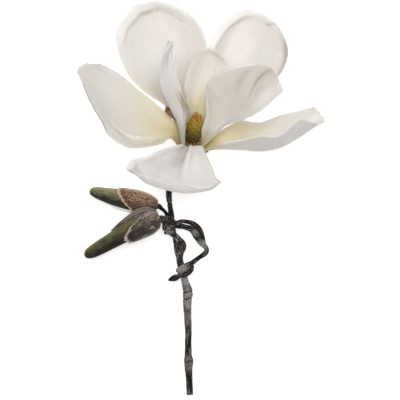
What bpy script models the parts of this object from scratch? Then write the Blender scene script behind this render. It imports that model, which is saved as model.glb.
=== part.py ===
"""A white magnolia flower on a cut woody twig with two closed side buds, lying on a flat surface.

The twig lies along +Y, with the flower at its +Y end. The flower leans up from the surface, towards +Z.
The origin is on the surface, under the middle of the whole spray. Sizes below are in millimetres, and
mm() turns them into Blender's metres.
"""

import math

import bmesh
import bpy
from mathutils import Matrix, Vector

# The flower: where its tepals are seated, how far its axis rises from the surface and leans to the right
FLOWER_SEAT = (-7.8, 43.0, 48.0)
FLOWER_RISE = math.radians(38)
FLOWER_LEAN = math.radians(12)
SEAT_RADIUS = 6.2
SEAT_TOP = 1.0
OUTER_LEVEL = -6.0
INNER_LEVEL = -1.0
BRACT_LEVEL = -7.2
FIT_GAP = 0.3
FLAT_REACH = 0.15

# Tepals: thickness along the midrib, at the margin and at the claw, the shares of the length and of the width
# where the tip and the side margins start to bend, and the cells along and across one
TEPAL_THICK = 1.1
MARGIN_THICK = 0.75
CLAW_THICK = 1.5
TIP_START = 0.8
SIDE_START = 0.6
TEPAL_ROWS = 14
TEPAL_COLUMNS = 8
BRACT_ROWS = 8
BRACT_COLUMNS = 4

# The stamens' disc on the seat, the cone of carpels on it, and the styles on top
DISC_THICK = 1.3
DISC_RADIUS = 5.6
STAMEN_COUNT = 14
CONE_HEIGHT = 22.5
CONE_RADIUS = 5.4
CARPEL_COUNT = 40
STYLE_COUNT = 12
GOLDEN_ANGLE = math.radians(137.508)

# The twig's cut end, the buds and the brown scales round them
CUT_RADIUS = 2.7
STEM_RINGS = 60
LIMB_SIDES = 9
BUD_SIDES = 16
BUD_RINGS = 16
SCALE_THICK = 1.0
SCALE_GAP = 0.65
SCALE_CELLS = 10


def mm(point):
    """A point or length given in millimetres, in metres."""
    return Vector(point) * 0.001 if hasattr(point, "__len__") else point * 0.001


def blend(points, t):
    """The point at t from 0 to 1 on the smooth curve through the points, of any number of coordinates."""
    last = len(points) - 1
    place = min(max(t, 0.0), 1.0) * last
    i = min(int(place), last - 1)
    f = place - i
    before, start, end, after = (points[min(max(k, 0), last)] for k in range(i - 1, i + 3))
    return [
        0.5 * (2 * b + (c - a) * f + (2 * a - 5 * b + 4 * c - d) * f**2 + (3 * b - 3 * c + d - a) * f**3)
        for a, b, c, d in zip(before, start, end, after)
    ]


def material(name, colour, roughness):
    made = bpy.data.materials.new(name)
    made.use_nodes = True
    shader = made.node_tree.nodes["Principled BSDF"]
    shader.inputs["Base Color"].default_value = (*colour, 1)
    shader.inputs["Roughness"].default_value = roughness
    shader.inputs["Metallic"].default_value = 0
    made.diffuse_color = (*colour, 1)
    return made


def make_object(name, bm, finish):
    """A smooth shaded object from the bmesh, which is in metres."""
    bmesh.ops.recalc_face_normals(bm, faces=bm.faces)
    mesh = bpy.data.meshes.new(name)
    bm.to_mesh(mesh)
    bm.free()
    mesh.materials.append(finish)
    mesh.shade_smooth()
    mesh.set_sharp_from_angle(angle=math.radians(50))
    made = bpy.data.objects.new(name, mesh)
    bpy.context.scene.collection.objects.link(made)
    return made


def fuse(base, others):
    """Joins the other objects into the base as one solid, and removes them."""
    group = bpy.data.collections.new(base.name + "_pieces")
    bpy.context.scene.collection.children.link(group)
    for other in others:
        bpy.context.scene.collection.objects.unlink(other)
        group.objects.link(other)
    union = base.modifiers.new("Join", "BOOLEAN")
    union.operation = "UNION"
    union.operand_type = "COLLECTION"
    union.collection = group
    union.solver = "MANIFOLD"
    graph = bpy.context.evaluated_depsgraph_get()
    joined = bpy.data.meshes.new_from_object(base.evaluated_get(graph))
    base.modifiers.clear()
    base.data = joined
    for other in others:
        bpy.data.objects.remove(other)
    bpy.data.collections.remove(group)
    return base


def solid_sheet(bm, inner, outer):
    """Closes two grids of points, rows by columns, into one thin solid. Both faces are split alike."""
    rows, columns = len(inner), len(inner[0])
    faces = [[[bm.verts.new(p) for p in row] for row in grid] for grid in (inner, outer)]
    for side in faces:
        for i in range(rows - 1):
            for j in range(columns - 1):
                a, b, c, d = side[i][j], side[i][j + 1], side[i + 1][j + 1], side[i + 1][j]
                flip = (i + j) % 2
                bm.faces.new((a, b, c) if flip else (a, b, d))
                bm.faces.new((a, c, d) if flip else (b, c, d))
    rim = [(0, j) for j in range(columns)]
    rim += [(i, columns - 1) for i in range(1, rows)]
    rim += [(rows - 1, j) for j in range(columns - 2, -1, -1)]
    rim += [(i, 0) for i in range(rows - 2, 0, -1)]
    for (i, j), (k, m) in zip(rim, rim[1:] + rim[:1]):
        bm.faces.new((faces[0][i][j], faces[0][k][m], faces[1][k][m], faces[1][i][j]))


def tube(bm, stations, rings, sides):
    """A closed round limb along the smooth curve through stations of x, y, z and radius, in millimetres."""
    points = [blend(stations, i / rings) for i in range(rings + 1)]
    centres = [Vector(p[:3]) for p in points]
    side = Vector((0, 0, 1))
    loops = []
    for i, (centre, point) in enumerate(zip(centres, points)):
        along = (centres[min(i + 1, rings)] - centres[max(i - 1, 0)]).normalized()
        side = (side - side.dot(along) * along).normalized()
        across = along.cross(side)
        ring = []
        for k in range(sides):
            turn = 2 * math.pi * k / sides
            out = math.cos(turn) * side + math.sin(turn) * across
            ring.append(bm.verts.new(mm(centre + point[3] * out)))
        loops.append(ring)
    for low, high in zip(loops, loops[1:]):
        for k in range(sides):
            bm.faces.new((low[k - 1], low[k], high[k], high[k - 1]))
    bm.faces.new(reversed(loops[0]))
    bm.faces.new(loops[-1])


def limb(name, stations, rings, finish, sides=LIMB_SIDES):
    bm = bmesh.new()
    tube(bm, stations, rings, sides)
    return make_object(name, bm, finish)


def lay_flat(obj):
    """Levels whatever lies within a hair of the surface, or would reach below it, into a flat spot on it."""
    for vertex in obj.data.vertices:
        if vertex.co.z < mm(FLAT_REACH):
            vertex.co.z = 0.0


def flower_frame():
    """The flower's own frame: +Z up its axis, +X to the right, +Y to the back."""
    rise, lean = FLOWER_RISE, FLOWER_LEAN
    axis = Vector((math.sin(lean) * math.cos(rise), math.cos(lean) * math.cos(rise), math.sin(rise)))
    right = (Vector((1, 0, 0)) - axis.x * axis).normalized()
    turn = Matrix((right, axis.cross(right), axis)).transposed()
    return Matrix.Translation(mm(FLOWER_SEAT)) @ turn.to_4x4()


def start_scene():
    for obj in list(bpy.data.objects):
        bpy.data.objects.remove(obj)


start_scene()
FLOWER = flower_frame()

PETAL_WHITE = material("tepal_white", (0.86, 0.84, 0.79), 0.55)
CONE_GREEN = material("cone_olive", (0.30, 0.29, 0.05), 0.6)
STAMEN_TAN = material("stamen_tan", (0.45, 0.30, 0.16), 0.7)
STYLE_ORANGE = material("style_orange", (0.50, 0.24, 0.06), 0.7)
BARK = material("bark_brown", (0.10, 0.075, 0.065), 0.8)
BUD_GREEN = material("bud_green", (0.12, 0.15, 0.05), 0.6)
SCALE_BROWN = material("scale_brown", (0.22, 0.12, 0.07), 0.85)

# Tepals. Each is lofted through ribs from its claw to its tip. A rib is three points: the margin on the left
# of the inner face, the midrib, and the margin on the right. "turn" is the claw's place round the seat in
# degrees, from the right towards the back, and "level" its height on the seat. "flare" bends the left margin,
# the tip and the right margin outwards, in millimetres, and "wave" is the height and number of the ripples.
# "rounded" is how far the corners of the tip are drawn in, as a share of the length.
TEPALS = {
    "tepal_back_left": dict(
        turn=118, level=OUTER_LEVEL, claw=6, flare=(1, 5, 1), wave=(0.8, 2.5), rounded=0.045,
        ribs=[
            ((-26, 71, 37), (-15, 66, 30), (-5, 66, 36)),
            ((-44, 85, 31), (-22, 86, 14), (-2, 84, 28)),
            ((-58.5, 102, 27), (-28, 106, 2.5), (2, 104, 22)),
            ((-67, 121, 22), (-33, 126, -1.2), (4.5, 122, 17)),
            ((-62.5, 139.5, 17), (-37, 144, 0.5), (-2.5, 141, 13)),
            ((-47, 153, 11), (-35.5, 159, 7.5), (-20.5, 154.5, 9)),
        ],
    ),
    "tepal_back_right": dict(
        turn=62, level=OUTER_LEVEL, claw=6, flare=(2, 4, -1), wave=(0.8, 2.0), rounded=0.06,
        ribs=[
            ((0, 66, 34), (7, 66, 31), (19, 60, 38)),
            ((4, 84, 26), (16, 87, 14), (43, 77, 31)),
            ((8, 104, 21), (25, 107, 2), (60.3, 95, 26)),
            ((10.5, 122.5, 17), (33, 124, -1.2), (69.3, 114, 22)),
            ((18.8, 138.5, 13), (39, 140, 0.8), (67.3, 132, 17)),
            ((36.5, 147.8, 9), (47, 151, 6), (58, 146.5, 9)),
        ],
    ),
    "tepal_left": dict(
        turn=174, level=OUTER_LEVEL, claw=6, flare=(2, 1, 1), wave=(1.0, 2.0), rounded=0.03,
        ribs=[
            ((-24, 48.3, 57), (-24, 50.5, 48), (-22, 62, 41)),
            ((-38, 45, 66), (-38, 47, 50), (-35, 75, 37)),
            ((-55, 45.3, 72), (-54, 50, 46), (-51, 88, 34)),
            ((-70.8, 54.2, 72), (-68.5, 66, 44), (-66, 100.7, 34)),
            ((-82.2, 68.6, 67), (-81, 84, 43), (-80.5, 107.8, 38)),
            ((-93.8, 93, 57), (-97.2, 103.8, 49), (-91.6, 107.3, 45)),
        ],
    ),
    "tepal_right": dict(
        turn=6, level=OUTER_LEVEL, claw=6, flare=(1, 2, 2), wave=(1.0, 2.5),
        ribs=[
            ((14, 53, 42), (13, 40, 47), (14, 44, 57.5)),
            ((31, 62, 36), (30, 40, 48), (32, 47.5, 67)),
            ((48, 62, 33), (47, 38.2, 50), (47, 51.5, 71)),
            ((64, 67, 33), (63, 41.4, 51), (62, 52, 73)),
            ((79, 71.5, 36), (79, 49.6, 54), (76, 64.5, 70)),
            ((89.5, 74, 42), (97, 64, 52), (91, 60.5, 63)),
        ],
    ),
    "tepal_front": dict(
        turn=264, level=OUTER_LEVEL, claw=9, flare=(2, 6, 3), wave=(1.0, 2.0),
        ribs=[
            ((0.9, 42, 61), (-8, 41.5, 61), (-17, 43, 59)),
            ((3.1, 37, 68), (-9, 37, 66), (-29, 41, 67)),
            ((7.2, 27, 75), (-13, 25, 73), (-41.5, 36, 76)),
            ((10.4, 18, 79), (-16, 15, 77), (-54, 31, 82)),
            ((16, 12, 80), (-17, 7, 78), (-57.5, 21, 84)),
            ((13, 5, 75), (-17, 1.5, 73), (-48, 11.4, 78)),
        ],
    ),
    "tepal_inner_right": dict(
        turn=336, level=INNER_LEVEL, claw=7, flare=(2, 1, 1), wave=(0.8, 2.0),
        ribs=[
            ((0.8, 54, 64.5), (7, 51, 59.5), (9, 48, 59)),
            ((4, 66, 62), (14, 60, 61), (19, 58, 67)),
            ((4, 82, 62), (23, 73, 65), (31, 61, 77)),
            ((8, 95, 65), (33, 82, 70), (40.5, 66, 85)),
            ((26, 104, 69), (44, 90, 75), (50, 73, 89.5)),
            ((46, 106.5, 75), (54.5, 94.5, 80), (58.8, 79.5, 90)),
            ((54.8, 102.6, 80), (60.3, 94, 84), (65.2, 84.5, 87)),
        ],
    ),
    "tepal_inner_back": dict(
        turn=92, level=INNER_LEVEL, claw=8, flare=(1, 2, 1), wave=(0.6, 2.0), rounded=0.07,
        ribs=[
            ((-14, 66, 52), (-4, 68, 44), (7, 64, 50)),
            ((-13, 82, 53), (-1, 85, 44), (17, 80, 52)),
            ((-10, 98, 55), (3, 101, 47), (21, 96, 54)),
            ((-6, 110.5, 57), (6, 114, 52), (19.5, 107.5, 57)),
            ((0, 116, 58), (5.5, 118.2, 57), (12, 115, 59)),
        ],
    ),
    "tepal_inner_left": dict(
        turn=200, level=INNER_LEVEL, claw=7, flare=(1, 1, 1), wave=(0.6, 2.0), rounded=0.02,
        ribs=[
            ((-11.5, 60, 66), (-17.8, 59, 58), (-16.5, 62, 51)),
            ((-9.2, 70.5, 73), (-23.8, 72, 62), (-18, 74, 52)),
            ((-15, 86, 80), (-32, 88, 66), (-19, 90, 55)),
            ((-19.3, 101, 85), (-32, 102, 71), (-20.5, 104, 61)),
            ((-19.4, 114, 87), (-29.2, 115, 77), (-22, 117, 68)),
            ((-20, 120.6, 86), (-24, 124.3, 82), (-25, 121, 77)),
        ],
    ),
}

# Two brown bracts left from the flower's own bud scale, built as the tepals are
BRACTS = {
    "bract_left": dict(
        turn=150, level=INNER_LEVEL, claw=3, flare=(0, 0, 0), wave=(0.3, 1.0),
        ribs=[
            ((-18, 58.6, 47.5), (-17, 59.6, 47), (-16, 60.6, 46.5)),
            ((-25.8, 65.8, 50), (-24, 67.4, 48.5), (-21, 69, 48)),
            ((-28.8, 69.2, 52), (-28.7, 71.5, 51.5), (-28, 74, 51)),
        ],
    ),
    "bract_right": dict(
        turn=308, level=BRACT_LEVEL, claw=3, flare=(0, 0, 0), wave=(0.3, 1.0),
        ribs=[
            ((2.6, 38, 40), (1.6, 36.6, 41), (0.3, 35.6, 41.8)),
            ((5.8, 40, 38.5), (4.6, 38.2, 39.5), (2.6, 36.2, 40.5)),
            ((7, 39.6, 37.5), (6.2, 38.2, 38), (5, 37, 38.5)),
        ],
    ),
}

# The twig: x, y, z and radius along each grown length, from the cut end up to the flower and out to its forks
STEM = [
    (-9, -159.4, 2.53, CUT_RADIUS), (-9.5, -148, 2.53, CUT_RADIUS), (-10, -137.5, 2.9, 3.2),
    (-10, -131.8, 3.7, 3.8), (-10.4, -125, 3.7, 2.8), (-10.3, -107, 4.6, 2.7), (-11, -90, 5.4, 3.3),
    (-11, -82, 5.9, 3.6), (-10.8, -75, 6.3, 3.9), (-14, -63, 7.6, 2.6), (-16.5, -51, 9, 2.4),
    (-19.5, -44, 10, 1.8), (-21, -33, 11, 1.8), (-23, -22, 13, 2.2), (-24, -13, 14.4, 2.3),
    (-25.2, -4.5, 15.8, 2.1), (-25.8, 5, 18, 2.5), (-21.5, 15, 23.5, 2.8), (-14.5, 25, 32, 3.1),
]
BUD_BRANCH = [
    (-14.5, -62, 8, 2.5), (-17, -52, 10.5, 2.7), (-17, -45, 12.5, 2.8), (-15.7, -38, 14.5, 3.9),
    (-19, -32, 17, 2.6), (-25, -27, 18.5, 2.5), (-29.5, -26.5, 19, 2.2),
]
KNOT = [(-22, -20, 13, 2.8), (-27, -17, 16, 3.6), (-28, -21.5, 18.5, 3.4), (-28.5, -26, 19, 2.6)]
UPPER_STALK = [(-27, -16, 16, 2.2), (-28.5, -11.5, 13.5, 1.4), (-32, -8, 11.5, 1.4), (-33.9, -6.6, 11, 2.0)]
LOWER_STALK = [(-26, -19, 17, 2.8), (-29.5, -17.5, 20.5, 3.2), (-30.0, -15.9, 21.6, 2.5)]
CURL_FRONT = [
    (-26, -19, 17, 2.4), (-20, -21.5, 20, 2.3), (-13, -23, 22, 2.2), (-7, -25, 22.5, 2.8),
    (-3.5, -30, 22, 3.0), (0.4, -36, 20, 2.3), (4, -39.5, 19, 2.0), (4, -43.5, 18, 2.1),
    (-2, -48, 17.5, 1.9), (-8.5, -53, 16, 2.1),
]
CURL_BACK = [
    (-22, -21, 14, 1.8), (-16, -18.5, 15, 1.7), (-8, -19.6, 16.5, 2.0), (-2.4, -23.4, 18, 2.2),
    (0.6, -29.3, 19, 2.0), (2.6, -38, 19, 1.7),
]
HOOK_OVER = [(-7.5, -52, 16, 2.2), (-11, -54.8, 15.8, 3.1), (-15.5, -57, 15.2, 3.0), (-19, -59.2, 13.5, 2.3)]
HOOK_TIP = [
    (-8, -52.5, 16, 1.8), (-7.6, -57, 14.5, 1.9), (-11.5, -61, 13.5, 1.9), (-17, -62.6, 13.5, 1.8),
    (-20.8, -64, 13.3, 2.6), (-24, -65.2, 13, 2.0), (-26.6, -66.3, 13, 0.5),
]

# The buds: x, y, z and radius from the stalk to the tip
UPPER_BUD = [
    (-35, -6, 10.8, 2.4), (-37, -5.6, 10.8, 4.4), (-44, -4.2, 10.6, 7.2), (-53, -2.4, 10.2, 8.2),
    (-62, -0.6, 10, 7.8), (-70, 1, 9.8, 7.0), (-78, 3, 9.6, 5.8), (-84.6, 4.8, 9.5, 4.6),
    (-88.8, 5.8, 9.4, 3.0), (-90.3, 6.1, 9.4, 1.0),
]
LOWER_BUD = [
    (-33, -16.4, 22.6, 3.2), (-35.9, -17.2, 23.2, 6.1), (-42.5, -19.6, 24, 8.3), (-53, -24.4, 25, 8.0),
    (-63, -29.2, 25.6, 7.1), (-73, -34.8, 26, 6.4), (-82, -40, 26.2, 5.7), (-88, -43.3, 26.2, 4.9),
    (-92, -45.4, 26.2, 3.3), (-93.6, -46.2, 26.2, 1.1),
]

# The bud scales' outlines. From one side to the other, each row holds the angle round the bud in degrees from
# the top, where along the bud the scale starts and ends, from 0 at the stalk to 1 at the tip, and how far its
# middle and its end stand off the bud
UPPER_SCALE_EDGE = [
    (-100, 0.06, 0.56, 0, 0.4), (-66, 0.05, 0.355, 0, 0), (0, 0.04, 0.485, 0, 0.3), (45, 0.05, 0.54, 0, 0.3),
    (120, 0.06, 0.53, 0, 0),
]
LOWER_FRONT_EDGE = [
    (-150, 0.07, 0.3, 0.4, 0), (-88, 0.07, 0.36, 0.2, 0.8), (-50, 0.06, 0.44, 0.2, 1.8),
    (0, 0.06, 0.42, 0.2, 0.4), (40, 0.07, 0.28, 0.2, 0), (74, 0.08, 0.19, 0.2, 0),
]
LOWER_BACK_EDGE = [
    (84, 0.02, 0.5, 3.9, 0), (115, 0.03, 0.5, 2.8, 0), (150, 0.05, 0.42, 1.2, 0), (185, 0.08, 0.3, 0.7, 0),
]


def claw_rib(turn, level, width):
    """The first rib, which sits against the seat's side."""
    angle = math.radians(turn)
    outward = Vector((math.cos(angle), math.sin(angle), 0))
    sideways = Vector((0, 0, 1)).cross(outward)
    centre = outward * (SEAT_RADIUS + FIT_GAP + CLAW_THICK / 2) + Vector((0, 0, level))
    return [
        tuple(FLOWER @ mm(centre - reach * sideways - 0.05 * reach**2 * outward) * 1000)
        for reach in (-width / 2, 0, width / 2)
    ]


def margin_reach(value, start):
    """0 inside start, rising to 1 at the margin."""
    return max(0.0, (value - start) / (1 - start))


def tepal_point(lines, u, v, rounded):
    """The point at u along the ribs and v across them, from -1 on the left to 1 on the right."""
    drawn_in = rounded * margin_reach(u, TIP_START) ** 2 * abs(v) ** 3
    left, mid, right = (Vector(blend(line, u - drawn_in)) for line in lines)
    across = v * (1 - drawn_in)
    return mid + across * (right - left) / 2 + across**2 * ((left + right) / 2 - mid)


def tepal_surface(ribs, flare, wave, rounded, rows, columns):
    """The middle surface of a tepal and its inner normals, as grids of points in millimetres."""
    lines = [[rib[k] for rib in ribs] for k in range(3)]
    sheet = [
        [tepal_point(lines, i / rows, 2 * j / columns - 1, rounded) for j in range(columns + 1)]
        for i in range(rows + 1)
    ]
    normals = grid_normals(sheet)
    height, count = wave
    for i in range(rows + 1):
        u = i / rows
        tip = margin_reach(u, TIP_START) ** 2
        sides = min(1, 2 * u) * (1 - tip)
        for j in range(columns + 1):
            v = 2 * j / columns - 1
            back = flare[0] * margin_reach(-v, SIDE_START) ** 2 + flare[2] * margin_reach(v, SIDE_START) ** 2
            ripple = height * math.sin(2 * math.pi * count * u + 2.4 * v) * abs(v) ** 3
            sheet[i][j] = sheet[i][j] + (sides * (ripple - back) - tip * flare[1]) * normals[i][j]
            sheet[i][j].z = max(sheet[i][j].z, TEPAL_THICK / 2)
    return sheet, grid_normals(sheet)


def grid_normals(sheet):
    rows, columns = len(sheet) - 1, len(sheet[0]) - 1
    return [
        [
            (sheet[i][min(j + 1, columns)] - sheet[i][max(j - 1, 0)])
            .cross(sheet[min(i + 1, rows)][j] - sheet[max(i - 1, 0)][j])
            .normalized()
            for j in range(columns + 1)
        ]
        for i in range(rows + 1)
    ]


def tepal(name, finish, rows, columns, turn, level, claw, flare, wave, ribs, rounded=0.0):
    """One tepal as a thin closed sheet, thicker at the claw and along the midrib than at its margins."""
    full = [claw_rib(turn, level, claw), *ribs]
    sheet, normals = tepal_surface(full, flare, wave, rounded, rows, columns)
    inner, outer = [], []
    for i, (points, lifts) in enumerate(zip(sheet, normals)):
        claw_share = max(0.0, 1 - 6 * i / rows)
        faces = ([], [])
        for j, (point, lift) in enumerate(zip(points, lifts)):
            v = 2 * j / columns - 1
            thick = TEPAL_THICK + (MARGIN_THICK - TEPAL_THICK) * v * v
            thick += (CLAW_THICK - TEPAL_THICK) * claw_share
            faces[0].append(mm(point + lift * thick / 2))
            faces[1].append(mm(point - lift * thick / 2))
        inner.append(faces[0])
        outer.append(faces[1])
    bm = bmesh.new()
    solid_sheet(bm, inner, outer)
    made = make_object(name, bm, finish)
    lay_flat(made)
    return made


def in_flower(radius, turn, height):
    """A point in the flower's frame, given round its axis, as plain millimetres in the world."""
    return tuple(FLOWER @ mm((radius * math.cos(turn), radius * math.sin(turn), height)) * 1000)


def cone_profile(height):
    """The cone's radius without its carpels, from its foot at 0 to its top at 1."""
    return CONE_RADIUS * (0.78 + 0.22 * math.sin(math.pi * height**1.3)) * (1 - 0.18 * height**4)


def build_twig():
    """The woody twig with its forks, the curled side twig, and the seat that carries the flower."""
    seat = [(-13, 3.4), (-9.5, 4.8), (-6.5, 6.1), (-3, SEAT_RADIUS), (SEAT_TOP, SEAT_RADIUS)]
    stem = [*STEM, *((*in_flower(0, 0, height), radius) for height, radius in seat)]
    twig = limb("twig", stem, STEM_RINGS, BARK)
    forks = [
        limb("fork", route, rings, BARK, sides=8)
        for route, rings in (
            (BUD_BRANCH, 16), (KNOT, 5), (UPPER_STALK, 7), (LOWER_STALK, 5), (CURL_FRONT, 24),
            (CURL_BACK, 14), (HOOK_OVER, 8), (HOOK_TIP, 13),
        )
    ]
    fuse(twig, forks)
    lay_flat(twig)


def build_stamens():
    """A thin disc on the seat with the short stubs of the stamens round its edge."""
    low, high = SEAT_TOP + FIT_GAP, SEAT_TOP + FIT_GAP + DISC_THICK
    disc = limb("stamens", [(*in_flower(0, 0, z), DISC_RADIUS) for z in (low, high)], 1, STAMEN_TAN, sides=14)
    stubs = []
    for k in range(STAMEN_COUNT):
        turn = 2 * math.pi * k / STAMEN_COUNT
        reach = 1.4 + 0.8 * math.sin(5.3 * k)
        route = [
            (*in_flower(4.7, turn, low + 0.6), 0.6), (*in_flower(5.7, turn, high + 0.6), 0.7),
            (*in_flower(6.1, turn, high + 1.4 + reach), 0.35),
        ]
        stubs.append(limb("stub", route, 3, STAMEN_TAN, sides=5))
    fuse(disc, stubs)


def build_cone():
    """The cone of overlapping carpels, set round it by the golden angle, with their beaks standing out."""
    foot = SEAT_TOP + 2 * FIT_GAP + DISC_THICK
    core = [(*in_flower(0, 0, foot + CONE_HEIGHT * s), cone_profile(s)) for s in (k / 8 for k in range(9))]
    cone = limb("cone", core, 12, CONE_GREEN, sides=14)
    carpels = []
    for k in range(CARPEL_COUNT):
        turn = k * GOLDEN_ANGLE
        base = 0.06 + 0.74 * (k + 0.5) / CARPEL_COUNT
        steps = ((0, -0.9, 0.9, 0), (0.06, -0.3, 1.5, 0), (0.13, 0.3, 1.3, 0), (0.19, 1.1, 0.3, 0.1))
        route = [
            (*in_flower(cone_profile(base + up) + out, turn + twist, foot + CONE_HEIGHT * (base + up)), thick)
            for up, out, thick, twist in steps
        ]
        carpels.append(limb("carpel", route, 4, CONE_GREEN, sides=5))
    fuse(cone, carpels)


def build_styles():
    """The dried styles on top of the cone: a small cap with a tuft of curling tips."""
    low = SEAT_TOP + 3 * FIT_GAP + DISC_THICK + CONE_HEIGHT
    cap = [(*in_flower(0, 0, low + z), r) for z, r in ((0, 3.4), (0.9, 3.8), (1.8, 2.6))]
    styles = limb("styles", cap, 3, STYLE_ORANGE, sides=10)
    tips = []
    for k in range(STYLE_COUNT):
        turn = k * GOLDEN_ANGLE
        spread = 0.6 + 3.0 * math.sqrt((k + 0.5) / STYLE_COUNT)
        route = [
            (*in_flower(spread * 0.8, turn, low + 0.5), 0.8), (*in_flower(spread, turn, low + 1.9), 0.75),
            (*in_flower(spread + 0.5, turn + 0.2, low + 3.0), 0.6),
            (*in_flower(spread + 1.3, turn + 0.5, low + 3.4), 0.35),
        ]
        tips.append(limb("tip", route, 4, STYLE_ORANGE, sides=5))
    fuse(styles, tips)


def build_bud_scale(name, bud, edge, finish):
    """A thin brown scale wrapped round a bud, inside the given outline."""
    inner, outer = [], []
    for i in range(SCALE_CELLS + 1):
        share = i / SCALE_CELLS
        rows = ([], [])
        for j in range(SCALE_CELLS + 1):
            angle, start, end, arch, flare = blend(edge, j / SCALE_CELLS)
            along = start + (end - start) * share
            x, y, z, radius = blend(bud, along)
            ahead = Vector(blend(bud, along + 0.02)[:3]) - Vector(blend(bud, along - 0.02)[:3])
            ahead.normalize()
            up = (Vector((0, 0, 1)) - ahead.z * ahead).normalized()
            out = math.cos(math.radians(angle)) * up + math.sin(math.radians(angle)) * ahead.cross(up)
            near = radius + SCALE_GAP + arch * math.sin(math.pi * share) + flare * share**2
            rows[0].append(mm(Vector((x, y, z)) + near * out))
            rows[1].append(mm(Vector((x, y, z)) + (near + SCALE_THICK) * out))
        inner.append(rows[0])
        outer.append(rows[1])
    bm = bmesh.new()
    solid_sheet(bm, inner, outer)
    return make_object(name, bm, finish)


for tepal_name, shape in TEPALS.items():
    tepal(tepal_name, PETAL_WHITE, TEPAL_ROWS, TEPAL_COLUMNS, **shape)
for bract_name, shape in BRACTS.items():
    tepal(bract_name, SCALE_BROWN, BRACT_ROWS, BRACT_COLUMNS, **shape)
build_twig()
build_stamens()
build_cone()
build_styles()
limb("bud_upper", UPPER_BUD, BUD_RINGS, BUD_GREEN, sides=BUD_SIDES)
limb("bud_lower", LOWER_BUD, BUD_RINGS, BUD_GREEN, sides=BUD_SIDES)
build_bud_scale("scale_upper", UPPER_BUD, UPPER_SCALE_EDGE, SCALE_BROWN)
build_bud_scale("scale_lower_front", LOWER_BUD, LOWER_FRONT_EDGE, SCALE_BROWN)
build_bud_scale("scale_lower_back", LOWER_BUD, LOWER_BACK_EDGE, SCALE_BROWN)
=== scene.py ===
import math

import bpy
import numpy as np
from mathutils import Matrix, Vector, kdtree, noise


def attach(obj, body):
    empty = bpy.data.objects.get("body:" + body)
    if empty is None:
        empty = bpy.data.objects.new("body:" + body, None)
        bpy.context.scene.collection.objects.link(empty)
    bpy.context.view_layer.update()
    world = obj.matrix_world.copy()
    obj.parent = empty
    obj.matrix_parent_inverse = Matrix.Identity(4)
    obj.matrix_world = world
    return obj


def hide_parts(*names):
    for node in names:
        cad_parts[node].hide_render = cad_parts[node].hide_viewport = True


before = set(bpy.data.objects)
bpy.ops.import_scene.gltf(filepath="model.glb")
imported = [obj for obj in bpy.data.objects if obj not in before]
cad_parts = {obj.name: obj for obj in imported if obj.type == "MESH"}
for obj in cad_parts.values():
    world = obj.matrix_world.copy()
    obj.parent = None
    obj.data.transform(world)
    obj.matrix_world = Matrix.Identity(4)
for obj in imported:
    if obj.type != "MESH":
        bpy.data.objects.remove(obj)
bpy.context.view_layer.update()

# The twig. A young woody shoot, cut square at its foot, with two forks: one curls forward and hooks under
# itself, the other carries the buds. It is one piece that grew together, so its limbs are drawn as tubes,
# merged into one skin and given bark. It swells out at its top into the seat that carries the flower.
# Sizes are in millimetres. MM is one of them in metres, Blender's unit
MM = 0.001
# The foot of the flower's axis, how steeply it rises and how far it leans to the right
FLOWER_SEAT = (-7.8, 43, 48)
RISE = math.radians(38)
LEAN = math.radians(12)
SEAT_RADIUS = 6.2
SEAT_TOP = 1
CUT_RADIUS = 2.7
# How finely a limb is drawn: its sides, and for each station its rings and its rows of bark
LIMB_SIDES = 24
LIMB_RINGS = 8
GRAIN_ROWS = 12
# Each limb's grain starts far from the others', so that no pattern repeats. The stem's ends before STEM_END
GRAIN_SHIFT = 100
STEM_END = 230
BARK_VOXEL = 0.32
# The stem and its forks, each as stations from end to end: x, y, z and radius
STEM = [
    (-9, -159.4, 2.53, CUT_RADIUS), (-9.5, -148, 2.53, CUT_RADIUS), (-10, -137.5, 2.9, 3.2),
    (-10, -131.8, 3.7, 3.8), (-10.4, -125, 3.7, 2.8), (-10.3, -107, 4.6, 2.7), (-11, -90, 5.4, 3.3),
    (-11, -82, 5.9, 3.6), (-10.8, -75, 6.3, 3.9), (-14, -63, 7.6, 2.6), (-16.5, -51, 9, 2.4),
    (-19.5, -44, 10, 1.8), (-21, -33, 11, 1.8), (-23, -22, 13, 2.2), (-24, -13, 14.4, 2.3),
    (-25.2, -4.5, 15.8, 2.1), (-25.8, 5, 18, 2.5), (-21.5, 15, 23.5, 2.8), (-14.5, 25, 32, 3.1),
]
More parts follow.
